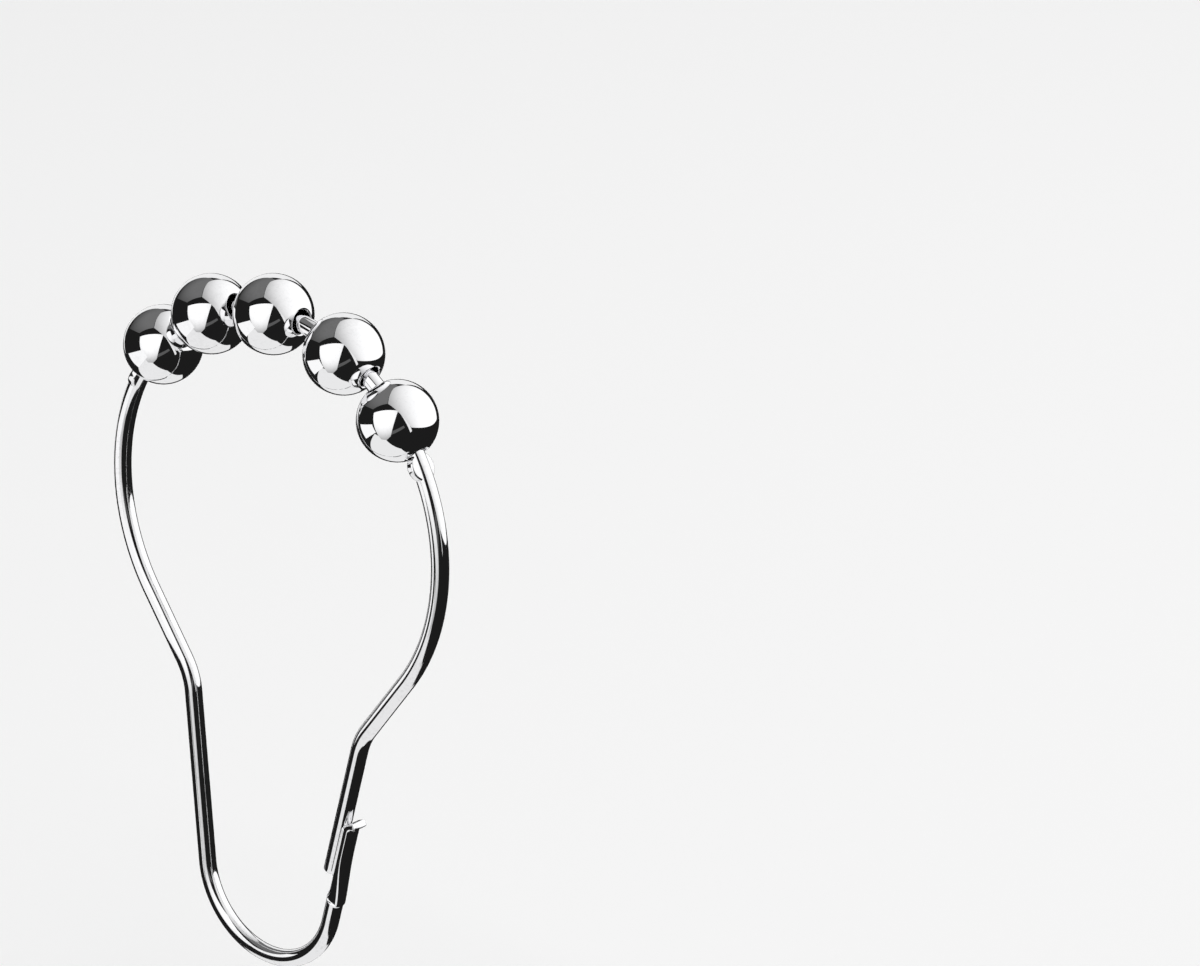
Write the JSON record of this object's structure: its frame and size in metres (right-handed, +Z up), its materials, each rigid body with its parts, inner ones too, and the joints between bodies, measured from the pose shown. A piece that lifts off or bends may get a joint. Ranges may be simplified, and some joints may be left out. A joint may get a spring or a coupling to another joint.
{
  "type": "shower curtain hook",
  "caption": "Bent wire shower curtain hook with roller balls on its upper ring, a narrow waist, and a lower loop that opens at a spring clasp.",
  "frame": {"origin": "middle of the upper ring, on the line along the curtain rod, in the middle plane of the hook", "axes": "+X towards the side with the clasp, +Y along the curtain rod, +Z up, with the hook hanging from its balls"},
  "size_m": [0.05, 0.009, 0.0836],
  "materials": {
    "wire_steel": "polished chrome over steel spring wire",
    "ball_steel": "mirror polished chrome"
  },
  "bodies": {
    "hook": {"wire": "wire_steel"},
    "ball_1": {"roller_ball_1": "ball_steel"},
    "ball_2": {"roller_ball_2": "ball_steel"},
    "ball_3": {"roller_ball_3": "ball_steel"},
    "ball_4": {"roller_ball_4": "ball_steel"},
    "ball_5": {"roller_ball_5": "ball_steel"}
  },
  "joints": [
    {"name": "ball_1_spin", "type": "hinge", "parent": "hook", "child": "ball_1", "pos_m": [-0.01752, 0, 0.01612], "axis": [0.677, 0, 0.736], "continuous": true},
    {"name": "ball_2_spin", "type": "hinge", "parent": "hook", "child": "ball_2", "pos_m": [-0.0101, 0, 0.02156], "axis": [0.9055, 0, 0.4243], "continuous": true},
    {"name": "ball_3_spin", "type": "hinge", "parent": "hook", "child": "ball_3", "pos_m": [-0.00077, 0, 0.02379], "axis": [0.9995, 0, 0.0322], "continuous": true},
    {"name": "ball_4_spin", "type": "hinge", "parent": "hook", "child": "ball_4", "pos_m": [0.00964, 0, 0.02177], "axis": [0.9144, 0, -0.4048], "continuous": true},
    {"name": "ball_5_spin", "type": "hinge", "parent": "hook", "child": "ball_5", "pos_m": [0.01752, 0, 0.01612], "axis": [0.677, 0, -0.736], "continuous": true}
  ]
}
